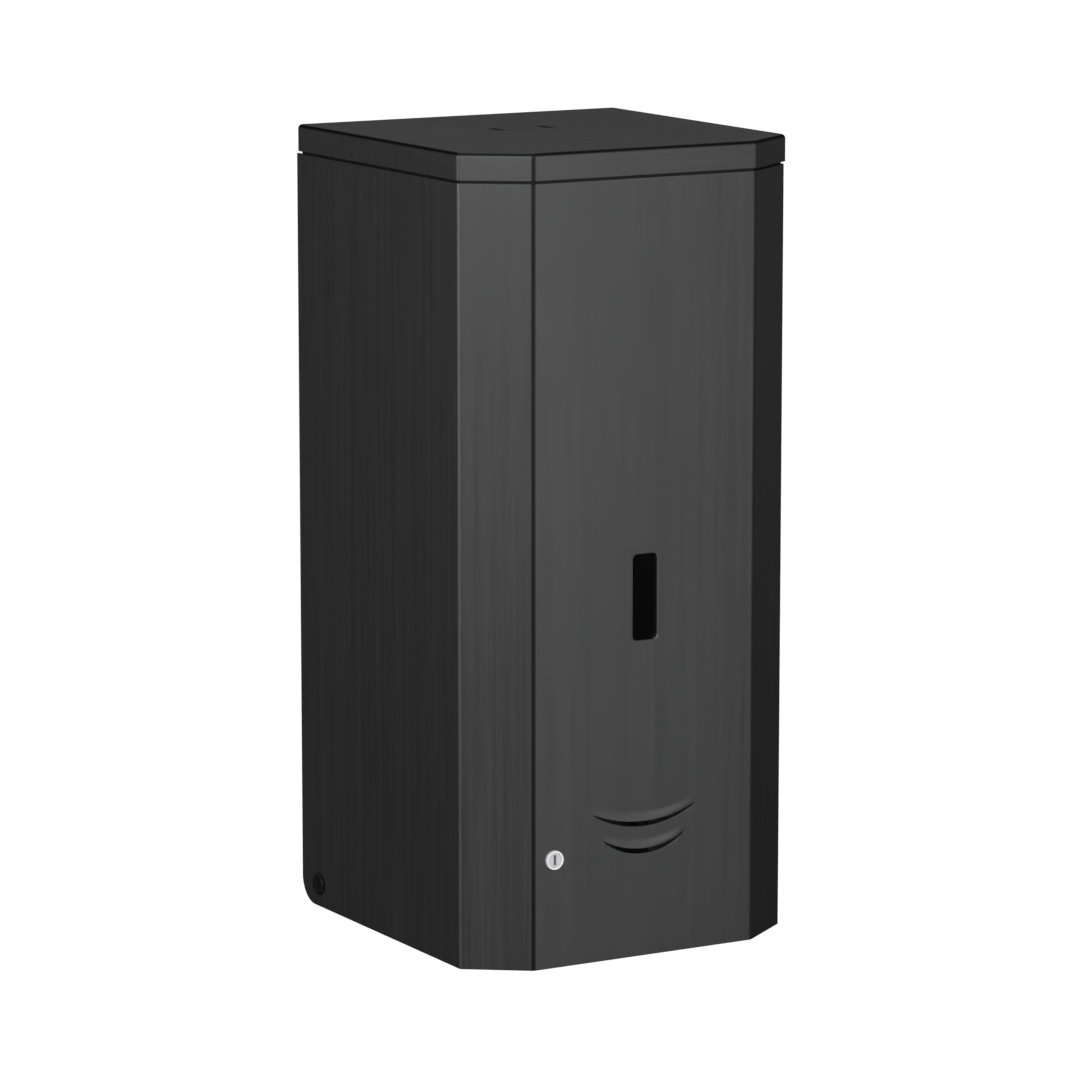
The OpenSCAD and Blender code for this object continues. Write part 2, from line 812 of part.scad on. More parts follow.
module drive_shaft() {
    color(bright_steel) rod_y(pump_axis.x, pump_axis.y, [chamber_y[0] + 0.2, cradle_y[1] - 0.2], shaft_r);
}

module drive_gear() {
    y = [chamber_y[0] + 0.2, chamber_y[1] - 0.2];
    color([0.75, 0.7, 0.55]) gear(pump_axis, y, pump_teeth, pump_module, 90, shaft_r + 0.02);
}

module driven_gear() {
    y = [chamber_y[0] + 0.2, chamber_y[1] - 0.2];
    color([0.75, 0.7, 0.55]) {
        gear(driven_axis, y, pump_teeth, pump_module, 90 + 180 / pump_teeth, 1.4);
        rod_y(driven_axis.x, driven_axis.y, [y[0], chamber_y[1] + 1.8], 1.5);
    }
}

// ---------- tank ----------

// The tank's outline seen from above, moved inwards by inset
function tank_outline(inset) =
    let (
        w = tank_half - inset,
        rear = tank_rear - inset,
        front = tank_front + inset,
        cut = 12
    )
    round_corners(
        [[-w, rear], [-w, front + cut], [-w + cut, front], [w - cut, front], [w, front + cut], [w, rear]],
        5 - inset, 0, 5
    );

module tank() {
    color(milky) difference() {
        union() {
            translate([0, 0, tank_z]) linear_extrude(tank_top - tank_z) polygon(tank_outline(0));
            rod_z(0, neck_y, [tank_top - 1, neck_z], neck_r + 2.4);
            rod_z(inlet_x, flow_y, [80, tank_z + 1], spigot_r);
            both_sides() block([lug_x - 7, tank_rear - 3, tank_top - 1], [lug_x + 7, tank_rear, lug_z + 7]);
        }
        translate([0, 0, tank_z + tank_wall]) linear_extrude(tank_top - tank_z - 2 * tank_wall)
            polygon(tank_outline(tank_wall));
        rod_z(0, neck_y, [tank_top - 2 * tank_wall, neck_z + 1], neck_r);
        rod_z(inlet_x, flow_y, [79, tank_z + tank_wall + 1], bore_r);
        both_sides() rod_y(lug_x, lug_z, [tank_rear - 5, tank_rear + 1], 2.1);
    }
}

module tank_screws() {
    color(bright_steel) both_sides() translate([lug_x, tank_rear - 3, lug_z]) rotate([90, 0, 0])
        pan_screw(1.9, 8.8, 4, 2.2);
}

// Filler plug, with a finger grip across its top
module filler_plug() {
    seat = neck_z + 0.1;
    color([0.2, 0.35, 0.6]) difference() {
        union() {
            rod_z(0, neck_y, [tank_top - 1, seat], neck_r - 0.3);
            rod_z(0, neck_y, [seat, seat + 2.4], neck_r + 3.4);
            block([-14, neck_y - 2, seat + 2], [14, neck_y + 2, seat + 10]);
        }
        rod_z(0, neck_y, [tank_top - 2, seat], neck_r - 3);
        difference() {
            rod_z(0, neck_y, [tank_top + 2, tank_top + 4], neck_r + 1);
            rod_z(0, neck_y, [tank_top + 1, tank_top + 5], neck_r - 1.5);
        }
    }
}

module plug_seal() {
    color([0.08, 0.08, 0.08]) difference() {
        rod_z(0, neck_y, [tank_top + 2.1, tank_top + 3.9], neck_r - 0.1);
        rod_z(0, neck_y, [tank_top + 1, tank_top + 5], neck_r - 1.45);
    }
}

// ---------- batteries ----------

module battery_tray() {
    low = [tray_x[0] - tray_wall, tray_y[0], tray_z[0] - tray_wall];
    high = [tray_x[1] + tray_wall, tray_y[1] + tray_wall, tray_z[1] + tray_wall];
    color(black_plastic) difference() {
        block(low, high);
        block([tray_x[0], tray_y[0] - 1, tray_z[0]], [tray_x[1], tray_y[1], tray_z[1]]);
    }
}

module cell_places() {
    for (side = [-1, 1], y = cell_y)
        translate([cell_x + side * cell_gap / 2, y, 0]) children();
}

module battery_cells() {
    color([0.15, 0.2, 0.25]) cell_places() {
        translate([0, 0, 14]) cylinder(h = 49, r = cell_r);
        translate([0, 0, 62]) cylinder(h = 2.4, r = 2.75);
    }
}

module battery_contacts() {
    color(bright_steel) cell_places() {
        block([-5, -4, tray_z[0]], [5, 4, tray_z[0] + 0.6]);
        block([-5, -4, tray_z[1] - 0.4], [5, 4, tray_z[1]]);
    }
}

module battery_door() {
    y = [housing_y - 2.3, housing_y - 0.3];
    color([0.16, 0.16, 0.17]) {
        block([door_x[0], y[0], door_z[0]], [door_x[1], y[1], door_z[1]]);
        for (i = [0:4])
            block([cell_x - 9, y[0] - 0.8, 52 + 3 * i], [cell_x + 9, y[0], 53.2 + 3 * i]);
    }
}

// ---------- electronics ----------

module control_board() {
    y = board_y;
    color([0.05, 0.3, 0.15]) difference() {
        block([-40, y[0], 12], [40, y[1], 82]);
        both_sides() for (z = board_fix_z) rod_y(board_fix_x, z, [y[0] - 2, y[1] + 2], 1.6);
    }
    color([0.08, 0.08, 0.08]) {
        block([-6, y[0] - 2, 38], [8, y[0], 50]);
        block([14, y[0] - 3, 24], [22, y[0], 32]);
    }
    color(milky) {
        block([26, plug_y, 57], [36, y[0], 63]);
        block([-22, plug_y, 56.2], [-10, y[0], 62.2]);
        block([-5, plug_y, 16], [5, y[0], 22]);
        block([-36, plug_y, 65], [-28, y[0], 71]);
    }
    color(bright_steel) for (x = [-18, -28]) rod_y(x, 40, [y[0] - 10, y[0]], 4);
}

module board_screws() {
    color(bright_steel) both_sides() for (z = board_fix_z)
        translate([board_fix_x, board_y[0], z]) rotate([90, 0, 0]) pan_screw(1.2, 8, 2.4, 1.3);
}

module sensor_board() {
    color([0.05, 0.3, 0.15]) difference() {
        block([-22, sensor_y - 9, 14], [22, sensor_y + 9, 15.6]);
        both_sides() rod_z(sensor_fix_x, sensor_y, [13, 17], 1.3);
    }
}

// A round sensor that looks down from the sensor board
module eye(x) {
    rod_z(x, sensor_y, [9.5, 14], 2.5);
    difference() {
        translate([x, sensor_y, 9.5]) sphere(r = 2.5);
        block([x - 4, sensor_y - 4, 9.5], [x + 4, sensor_y + 4, 14]);
    }
}

module ir_emitter() {
    color([0.3, 0.3, 0.5]) eye(-8);
}

module ir_receiver() {
    color([0.1, 0.1, 0.1]) eye(8);
}

module sensor_window() {
    top = housing_z[0];
    color([0.12, 0.03, 0.05]) {
        block([-13.4, sensor_y - 6.4, top - panel_t - 0.4], [13.4, sensor_y + 6.4, top]);
        block([-15.5, sensor_y - 8.4, top], [15.5, sensor_y + 8.4, top + 1.2]);
    }
}

module status_led() {
    low = housing_z[0] - panel_t - 6;
    color([0.6, 0.8, 0.6]) {
        rod_z(12, flow_y, [low, 6], 2.5);
        translate([12, flow_y, low]) sphere(r = 2.4);
    }
}

// Wires in pairs, each straight into its plug on the control board
module wiring_loom() {
    r = 0.8;
    plug_end = plug_y - 0.1;
    color([0.5, 0.1, 0.1]) for (i = [0, 1]) {
        wire([[29 + 4 * i, tray_y[1] + 2.2, 60], [29 + 4 * i, plug_end, 60]], r);
        wire(
            [
                [motor_axis.x - 5 + 10 * i, motor_rear + 3.1, motor_axis.y],
                [motor_axis.x - 5 + 10 * i, plug_end, motor_axis.y]
            ],
            r
        );
        wire(
            [
                [-44, switch_y[1] + 0.2, 69 + 2.5 * i], [-44, -32, 69 + 2.5 * i],
                [-33, -27, 67 + 2.5 * i], [-33, plug_end, 67 + 2.5 * i]
            ],
            r
        );
        wire(
            [
                [4 * i - 2, -47.9, 15], [4 * i - 2, -32, 15],
                [4 * i - 2, -27, 19], [4 * i - 2, plug_end, 19]
            ],
            r
        );
    }
    color([0.1, 0.1, 0.1])
        wire([[12, flow_y, 6.1], [12, flow_y, 9], [12, -64, 9], [12, -64, 13.9]], r);
}

module switch_body() {
    y = switch_y;
    color([0.05, 0.05, 0.05]) difference() {
        block([-48, y[0], 64], [-40, y[1], 80]);
        block([-46, y[0] - 1, 68], [-42, y[0] + 3, 76]);
    }
}

module switch_knob() {
    color([0.8, 0.15, 0.1]) block([-45.5, housing_y - 2, 68.4], [-42.5, housing_y + 5, 71.4]);
}

// Moves what is measured from the casing's lower edge to the frame of the wall fixings
module placed() {
    translate([0, 0, -fix_z]) children();
}

placed() back_plate();
placed() pivot_screws();
placed() pivot_washers();
placed() lower_housing();
placed() housing_screws();
placed() base_panel();
placed() base_screws();
placed() nozzle();
placed() nozzle_valve();
placed() delivery_tube();
placed() inlet_tube();
placed() outlet_grommet();
placed() pump_cradle();
placed() pump_body();
placed() pump_cover();
placed() pump_screws();
placed() shaft_seal();
placed() motor();
placed() drive_shaft();
placed() reduction_gear();
placed() drive_gear();
placed() driven_gear();
placed() motor_shaft();
placed() motor_pinion();
placed() tank();
placed() tank_screws();
placed() filler_plug();
placed() plug_seal();
placed() battery_tray();
placed() battery_cells();
placed() battery_contacts();
placed() battery_door();
placed() control_board();
placed() board_screws();
placed() sensor_board();
placed() ir_emitter();
placed() ir_receiver();
placed() sensor_window();
placed() status_led();
placed() wiring_loom();
placed() switch_body();
placed() switch_knob();
placed() lock_keeper();
placed() keeper_screws();
placed() casing();
placed() stop_pins();
placed() lid();
placed() lid_frame();
placed() lid_bridge();
placed() bridge_rivets();
placed() level_window();
placed() lock_body();
placed() lock_nuts();
placed() lock_plug();
placed() lock_cam();
placed() cam_screw();
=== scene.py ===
import json
from math import acos, atan2, cos, hypot, pi, radians, sin, sqrt, tan

import bmesh
import bpy
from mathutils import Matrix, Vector
from mathutils.geometry import delaunay_2d_cdt


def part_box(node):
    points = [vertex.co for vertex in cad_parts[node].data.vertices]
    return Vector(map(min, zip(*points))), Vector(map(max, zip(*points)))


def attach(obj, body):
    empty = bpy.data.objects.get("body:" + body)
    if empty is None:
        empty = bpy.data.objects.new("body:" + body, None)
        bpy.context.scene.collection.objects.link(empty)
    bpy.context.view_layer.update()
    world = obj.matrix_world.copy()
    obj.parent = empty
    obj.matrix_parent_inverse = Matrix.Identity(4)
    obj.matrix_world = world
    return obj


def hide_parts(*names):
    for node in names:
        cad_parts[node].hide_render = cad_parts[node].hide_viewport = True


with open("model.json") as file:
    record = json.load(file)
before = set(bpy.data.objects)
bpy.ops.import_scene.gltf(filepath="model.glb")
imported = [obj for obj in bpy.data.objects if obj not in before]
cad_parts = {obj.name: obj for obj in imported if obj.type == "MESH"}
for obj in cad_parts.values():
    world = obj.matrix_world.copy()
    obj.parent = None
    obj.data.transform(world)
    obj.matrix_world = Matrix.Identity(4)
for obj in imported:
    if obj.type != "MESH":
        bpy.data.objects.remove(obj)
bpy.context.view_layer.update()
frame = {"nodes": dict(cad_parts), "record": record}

MM = 0.001

# ---------- places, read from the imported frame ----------

lid_low, lid_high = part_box("lid")
casing_low, casing_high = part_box("casing")
lock_low, lock_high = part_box("lock_plug")
pivot_low, pivot_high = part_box("pivot_screws")
window_low, window_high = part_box("level_window")

SHEET = 1.0 * MM                        # thickness of the casing's sheet
PROUD = lid_high.x - casing_high.x      # how far the lid stands out past the casing
HALF_W = casing_high.x
FRONT = -(lid_low.y + PROUD)            # distance from the wall to the front face
REAR = -casing_high.y                   # distance from the wall to the casing's rear edges
BOTTOM = casing_low.z
BODY_H = casing_high.z - casing_low.z
LID_H = lid_high.z - lid_low.z

CHAMFER_X = 19.6 * MM                   # what a front chamfer takes off the front
CHAMFER_Y = 14.0 * MM                   # and off the side
BEND = 1.6 * MM                         # outer radius of the bends between the sides and the chamfers
BEND_FRONT = 3.2 * MM                   # and of the two bends beside the front
ROLL = 1.5 * MM                         # outer radius of the lid's top edge
HEEL = 8.8 * MM                         # rounding of the sides' lower rear corners
EDGE = 0.15 * MM                        # rounding of the sheet's cut edges
HEM = 9.0 * MM                          # depth of the hem below the front

SLOT_W, SLOT_H, SLOT_R = 9.1 * MM, 28.3 * MM, 1.8 * MM
SLOT_Z = (window_low.z + window_high.z) / 2
LOUVRES = ((19.5 * MM, 43.4 * MM), (15.5 * MM, 34.3 * MM))   # half width, height of the lowest point
LOUVRE_DROP = 5.6 * MM                  # how far the lower arc hangs down between its ends
LOUVRE_GAP = 1.7 * MM                   # the opening's height in its middle
LOUVRE_LIP = 0.55 * MM                  # how far the sheet stands out above the opening
LOUVRE_FADE = 3.2 * MM                  # height over which it comes back to the flat front
LOUVRE_TIP = 0.3 * MM                   # how much the opening is cut short at each pointed end
LOCK_X = (lock_low.x + lock_high.x) / 2
LOCK_Z = (lock_low.z + lock_high.z) / 2
LOCK_R = 3.3 * MM
PIVOT_Y = -(pivot_low.y + pivot_high.y) / 2
PIVOT_Z = (pivot_low.z + pivot_high.z) / 2
PIVOT_R = 2.6 * MM

# ---------- small geometry helpers ----------


def offset_loop(points, d):
    """A closed outline, which runs anticlockwise, moved outwards by d."""
    n = len(points)
    out = []
    for i in range(n):
        a, b, c = (Vector(points[(i + k) % n]) for k in (-1, 0, 1))
        u, v = (b - a).normalized(), (c - b).normalized()
        nu, nv = Vector((u.y, -u.x)), Vector((v.y, -v.x))
        m = nu + nv
        m = m / max(m.dot(nu), 0.35)
        out.append(tuple(b + m * d))
    return out


def circle(cx, cy, r, steps=48):
    turns = [2 * pi * k / steps for k in range(steps)]
    return [(cx + r * cos(t), cy + r * sin(t)) for t in turns]


def arc(cx, cy, r, start, end, steps):
    turns = [start + (end - start) * k / steps for k in range(steps + 1)]
    return [(cx + r * cos(t), cy + r * sin(t)) for t in turns]


def rounded_box(cx, cy, w, h, r, steps=8):
    out = []
    for k, (sx, sy) in enumerate(((1, 1), (-1, 1), (-1, -1), (1, -1))):
        x = cx + sx * (w / 2 - r)
        y = cy + sy * (h / 2 - r)
        out += arc(x, y, r, k * pi / 2, (k + 1) * pi / 2, steps)
    return out


def louvre_arcs(half, low):
    """Radius and centre height of a louvre's lower and upper arc."""
    arcs = []
    for drop, base in ((LOUVRE_DROP, low), (LOUVRE_DROP - LOUVRE_GAP, low + LOUVRE_GAP)):
        r = (half * half + drop * drop) / (2 * drop)
        arcs.append((r, base + r))
    return arcs


def crescent(half, low, steps=60):
    """The louvre's opening, anticlockwise."""
    tip = half - LOUVRE_TIP
    (r0, c0), (r1, c1) = louvre_arcs(half, low)
    xs = [tip * sin(pi / 2 * (2 * k / steps - 1)) for k in range(steps + 1)]
    lower = [(x, c0 - sqrt(r0 * r0 - x * x)) for x in xs]
    upper = [(x, c1 - sqrt(r1 * r1 - x * x)) for x in reversed(xs)]
    return lower + upper


def inside(point, loop):
    x, y = point
    hit = False
    for (x0, y0), (x1, y1) in zip(loop, loop[1:] + loop[:1]):
        if (y0 > y) != (y1 > y) and x < (x1 - x0) * (y - y0) / (y1 - y0) + x0:
            hit = not hit
    return hit


def new_object(name, data):
    obj = bpy.data.objects.new(name, data)
    bpy.context.scene.collection.objects.link(obj)
    return obj


def to_mesh(bm, name):
    """Turns the working mesh into a mesh of its own."""
    mesh = bpy.data.meshes.new(name)
    bm.to_mesh(mesh)
    bm.free()
    return mesh


def join_rings(bm, a, b):
    """A strip of faces between two closed rings with the same number of points."""
    n = len(a)
    for k in range(n):
        j = (k + 1) % n
        bm.faces.new([a[k], a[j], b[j], b[k]])


def add_face(bm, ring):
    """Adds a face, unless its points run together or it is there already."""
    ring = [v for i, v in enumerate(ring) if v not in ring[:i]]
    if len(ring) > 2 and not bm.faces.get(ring):
        bm.faces.new(ring)


def anticlockwise(points):
    """Whether the first three points of a flat face turn to the left."""
    a, b, c = points[:3]
    return (b[0] - a[0]) * (c[1] - a[1]) - (b[1] - a[1]) * (c[0] - a[0]) > 0


SHARP_ANGLE = radians(32)               # edges that turn more than this stay sharp


def smooth(mesh):
    for poly in mesh.polygons:
        poly.use_smooth = True
    mesh.set_sharp_from_angle(angle=SHARP_ANGLE)


def finish_piece(obj, body, nodes, mat, slot):
    """Gives a piece its material and its body, and hides the nodes it stands for; slot is not used."""
    obj.data.materials.clear()
    obj.data.materials.append(mat)
    weighted = obj.modifiers.new("normals", "WEIGHTED_NORMAL")
    weighted.keep_sharp = True
    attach(obj, body)
    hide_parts(*nodes)


# ---------- materials ----------


class Shader:
    """A node material with one principled shader, and short ways to add nodes to it."""

    def __init__(self, name, color, rough, metal=0.0, **sockets):
        self.mat = bpy.data.materials.new(name)
        self.mat.use_nodes = True
        self.tree = self.mat.node_tree
        self.bsdf = self.tree.nodes["Principled BSDF"]
        self.put(self.bsdf, Base_Color=(*color, 1), Roughness=rough, Metallic=metal, **sockets)
        self.coords = self.tree.nodes.new("ShaderNodeTexCoord").outputs["Object"]

    def put(self, node, **sockets):
        for key, value in sockets.items():
            node.inputs[key.replace("_", " ")].default_value = value
        return node

    def add(self, kind, links=(), props=(), **sockets):
        node = self.tree.nodes.new(kind)
        for key, value in dict(props).items():
            setattr(node, key, value)
        self.put(node, **sockets)
        for key, source in dict(links).items():
            self.tree.links.new(source, node.inputs[key])
        return node

    def noise(self, scale, detail=3.0, rough=0.55, stretch=(1, 1, 1)):
        """Noise with scale cells to the metre; stretch lengthens the cells along an axis."""
        shrink = [1 / s for s in stretch]
        mapped = self.add("ShaderNodeMapping", {"Vector": self.coords}, Scale=shrink)
        return self.add(
            "ShaderNodeTexNoise", {"Vector": mapped.outputs[0]},
            Scale=scale, Detail=detail, Roughness=rough,
        ).outputs["Fac"]

    def ramp(self, source, low, high, start=0.3, end=0.7):
        """Maps a value from start..end to low..high."""
        return self.add(
            "ShaderNodeMapRange", {"Value": source},
            From_Min=start, From_Max=end, To_Min=low, To_Max=high,
        ).outputs[0]

    def mix(self, factor, a, b):
        node = self.add("ShaderNodeMix", props={"data_type": "RGBA"})
        for index, value in ((0, factor), (6, a), (7, b)):
            if hasattr(value, "links"):
                self.tree.links.new(value, node.inputs[index])
            else:
                node.inputs[index].default_value = value if index == 0 else (*value, 1)
        return node.outputs[2]

    def math(self, op, a, b):
        node = self.add("ShaderNodeMath", props={"operation": op})
        for index, value in ((0, a), (1, b)):
            if hasattr(value, "links"):
                self.tree.links.new(value, node.inputs[index])
            else:
                node.inputs[index].default_value = value
        return node.outputs[0]

    def wire(self, source, socket):
        self.tree.links.new(source, self.bsdf.inputs[socket])

    def bump(self, height, strength, distance):
        node = self.add("ShaderNodeBump", {"Height": height}, Strength=strength, Distance=distance)
        self.wire(node.outputs[0], "Normal")

    def attribute(self, name):
        return self.add("ShaderNodeAttribute", props={"attribute_name": name}).outputs["Fac"]


BRUSH_FINE = 2600       # lines to the metre in the fine layer of brushing
BRUSH_BROAD = 420       # and in the broad layer
BRUSH_LENGTH = 90       # how many times longer than wide a line is
PAINTED_SHADE_AND_WELD_MARK_TONE = 0.08        # share of the sheet's own tone that is left in a fold's painted shade, and in the weld marks
PAINTED_FOLD_HIGHLIGHT = 2.2        # and how many times the tone a fold's painted highlight tends to


def brushed_steel(name, color, lengthwise, rough=0.42, metal=0.92, contrast=0.07, fold_shade_and_marks=False):
    """Brushed sheet: fine lines along one axis, soft blotches, folds painted darker or lighter as
    painted shade and painted highlight, and darker weld marks.
    """
    s = Shader(name, color, rough, metal)
    stretch = [1, 1, 1]
    stretch["XYZ".index(lengthwise)] = BRUSH_LENGTH
    fine = s.noise(BRUSH_FINE, 2, 0.6, stretch)
    broad = s.noise(BRUSH_BROAD, 2, 0.5, stretch)
    blotch = s.noise(28, 3, 0.5)
    lines = s.math("ADD", s.math("MULTIPLY", fine, 0.6), s.math("MULTIPLY", broad, 0.4))
    dark = [c * (1 - contrast) for c in color]
    light = [c * (1 + contrast) for c in color]
    tone = s.mix(s.ramp(lines, 0, 1), dark, light)
    tone = s.mix(s.ramp(blotch, 0, 0.25), tone, [c * 0.8 for c in color])
    uneven = s.math("ADD", s.ramp(lines, -0.06, 0.06), rough)
    if fold_shade_and_marks:
        # the fold attribute paints shade (above 0) or a highlight (below 0) along bends and cut edges in
        # place of their reflections; weld marks reach past 1, darker and rougher
        fold = s.attribute("fold")
        tone = s.mix(s.ramp(fold, 0, 1, 0.0, 1.0), tone, [c * PAINTED_SHADE_AND_WELD_MARK_TONE for c in color])
        tone = s.mix(s.ramp(fold, 0, 0.4, 0.0, -1.0), tone, [c * PAINTED_FOLD_HIGHLIGHT for c in color])
        uneven = s.math("ADD", uneven, s.ramp(fold, 0, 0.5, 1.0, 2.0))
    s.wire(tone, "Base Color")
    s.wire(uneven, "Roughness")
    s.bump(lines, 0.12, 0.00006)
    return s.mat


def moulded_plastic(name, color, rough=0.45, grain=900, depth=0.00004, **sockets):
    """Moulded plastic: a fine spark-eroded grain, slight flow shading and lighter convex edges."""
    s = Shader(name, color, rough, **sockets)
    fine = s.noise(grain, 4, 0.6)
    flow = s.noise(22, 3, 0.5)
    dark = [c * 0.84 for c in color]
    light = [min(1, c * 1.14 + 0.004) for c in color]
    tone = s.mix(s.ramp(flow, 0, 1), dark, light)
    edge = s.add("ShaderNodeNewGeometry").outputs["Pointiness"]
    tone = s.mix(s.ramp(edge, 0, 0.5, 0.54, 0.66), tone, [min(1, c * 1.5 + 0.02) for c in color])
    s.wire(tone, "Base Color")
    s.wire(s.math("ADD", s.ramp(fine, -0.07, 0.07), rough), "Roughness")
    s.bump(fine, 0.35, depth)
    return s.mat


def turned_metal(name, color, rough, metal):
    """Bright metal parts: faint machining lines and smudges."""
    s = Shader(name, color, rough, metal)
    lines = s.noise(1800, 2, 0.5, (1, 12, 1))
    smudge = s.noise(60, 3, 0.6)
    tone = s.mix(s.ramp(smudge, 0, 1), [c * 0.86 for c in color], color)
    s.wire(tone, "Base Color")
    s.wire(s.math("ADD", s.ramp(smudge, -0.05, 0.09), rough), "Roughness")
    s.bump(lines, 0.15, 0.00003)
    return s.mat


def rubber(name, color, rough=0.7):
    """Matt rubber with a fine grain and patches of dust."""
    s = Shader(name, color, rough, Specular_IOR_Level=0.35)
    fine = s.noise(1400, 4, 0.7)
    dust = s.noise(90, 4, 0.6)
    dusty = [c * 1.5 + 0.03 for c in color]
    s.wire(s.mix(s.ramp(dust, 0, 0.35, 0.45, 0.75), color, dusty), "Base Color")
    s.wire(s.math("ADD", s.ramp(fine, -0.08, 0.08), rough), "Roughness")
    s.bump(fine, 0.4, 0.00005)
    return s.mat


def circuit_board(name):
    """Solder mask with copper tracks seen through it, and speckled glass weave."""
    s = Shader(name, (0.012, 0.09, 0.03), 0.3, Coat_Weight=0.3)
    upright = s.add("ShaderNodeMapping", {"Vector": s.coords}, Rotation=(pi / 2, 0, 0)).outputs[0]
    cells = s.add(
        "ShaderNodeTexBrick", {"Vector": upright}, Scale=160, Mortar_Size=0.03,
        Color1=(0, 0, 0, 1), Color2=(0.25, 0.25, 0.25, 1), Mortar=(1, 1, 1, 1),
    ).outputs["Fac"]
    weave = s.noise(700, 2, 0.5)
    tone = s.mix(s.ramp(weave, 0, 1), (0.008, 0.07, 0.022), (0.016, 0.11, 0.04))
    s.wire(s.mix(s.ramp(cells, 0, 0.6, 0, 1), tone, (0.03, 0.2, 0.07)), "Base Color")
    s.wire(s.ramp(weave, 0.24, 0.4), "Roughness")
    s.bump(s.math("ADD", cells, s.math("MULTIPLY", weave, 0.3)), 0.3, 0.00004)
    return s.mat


def cell_jacket(name):
    """Printed jacket of a battery cell: a dark sleeve with a copper band at its positive end."""
    s = Shader(name, (0.03, 0.03, 0.035), 0.28, 0.3, Coat_Weight=0.4)
    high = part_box("battery_cells")[1]
    height = s.add("ShaderNodeSeparateXYZ", {"Vector": s.coords}).outputs["Z"]
    band_low = high.z - 16 * MM
    band = s.ramp(height, 0, 1, band_low, high.z - 15.6 * MM)
    scuff = s.noise(240, 4, 0.6, (1, 1, 6))
    tone = s.mix(band, (0.02, 0.022, 0.028), (0.55, 0.25, 0.09))
    s.wire(s.mix(s.ramp(scuff, 0, 0.2, 0.5, 0.8), tone, (0.3, 0.3, 0.3)), "Base Color")
    s.wire(s.ramp(scuff, 0.22, 0.4), "Roughness")
    s.bump(scuff, 0.1, 0.00004)
    return s.mat


def lens(name, color, rough, transmission=0.0):
    """Smooth glossy lens with a very faint ripple."""
    s = Shader(name, color, rough, Transmission_Weight=transmission, IOR=1.49)
    ripple = s.noise(120, 3, 0.5)
    s.wire(s.mix(s.ramp(ripple, 0, 1), [c * 0.8 for c in color], color), "Base Color")
    s.wire(s.math("ADD", s.ramp(ripple, -0.03, 0.05), rough), "Roughness")
    s.bump(ripple, 0.05, 0.00004)
    return s.mat


STEEL = (0.108, 0.108, 0.110)

materials = {
    "black_brushed_steel": brushed_steel("steel_body", STEEL, "Z", fold_shade_and_marks=True),
    "lid_top": brushed_steel("steel_lid", STEEL, "X", fold_shade_and_marks=True),
    "screw_black": turned_metal("screw_black", (0.02, 0.02, 0.021), 0.35, 0.7),
    "seam_painted_shade": brushed_steel("steel_seam_painted_shade", (0.012, 0.012, 0.012), "X", 0.55, 0.5),
    # the lid frame's black steel, darkened further than the casing as painted shade in the seam below
    # the lid
    "bright_steel": brushed_steel("steel_bright", (0.40, 0.40, 0.41), "X", 0.36, 0.6, 0.08),
    "chrome": turned_metal("chrome", (0.66, 0.66, 0.66), 0.4, 0.35),
    "lock_core": turned_metal("lock_core", (0.5, 0.5, 0.51), 0.42, 0.35),
    "black_plastic": moulded_plastic("plastic_black", (0.022, 0.022, 0.024), 0.46),
    "grey_plastic": moulded_plastic("plastic_grey", (0.12, 0.12, 0.125), 0.42),
    "milky_plastic": moulded_plastic(
        "plastic_milky", (0.46, 0.485, 0.48), 0.42, 160, 0.00001,
        Subsurface_Weight=0.2, Subsurface_Scale=0.004,
    ),
    "blue_plastic": moulded_plastic("plastic_blue", (0.02, 0.10, 0.33), 0.38),
    "nylon": moulded_plastic("nylon", (0.48, 0.43, 0.31), 0.5, 700),
    "rubber": rubber("rubber_black", (0.016, 0.016, 0.017)),
    "hose": moulded_plastic(
        "silicone_hose", (0.42, 0.44, 0.42), 0.35, 300, 0.00001,
        Subsurface_Weight=0.2, Subsurface_Scale=0.002,
    ),
    "circuit_board": circuit_board("board"),
    "smoked_lens": lens("smoked_lens", (0.002, 0.002, 0.002), 0.05),
    "sensor_lens": lens("sensor_lens", (0.05, 0.006, 0.012), 0.1),
    "cell_jacket": cell_jacket("cell_jacket"),
    "red_plastic": moulded_plastic("plastic_red", (0.5, 0.03, 0.02), 0.36),
    "clear_plastic": lens("clear_plastic", (0.72, 0.8, 0.74), 0.08, 0.6),
}

STEEL_SLOT = "black_brushed_steel"      # the record's slot of the casing and the lid

# ---------- the folded casing ----------

# how much painted shade or painted highlight each bend gets in place of its reflection, from the left
# rear round to the right rear: -1 is light, 1 is dark
BEND_PAINTED_TONES = (-1.0, 1.0, 0.15, -0.4)
PAINTED_TONE_SPREAD = 0.5       # below 1, the painted tone fills more of the bend's width


def painted_tone_across(share):
    """The painted shade's or painted highlight's strength at a share of the way across a bend."""
    return sin(pi * share) ** PAINTED_TONE_SPREAD


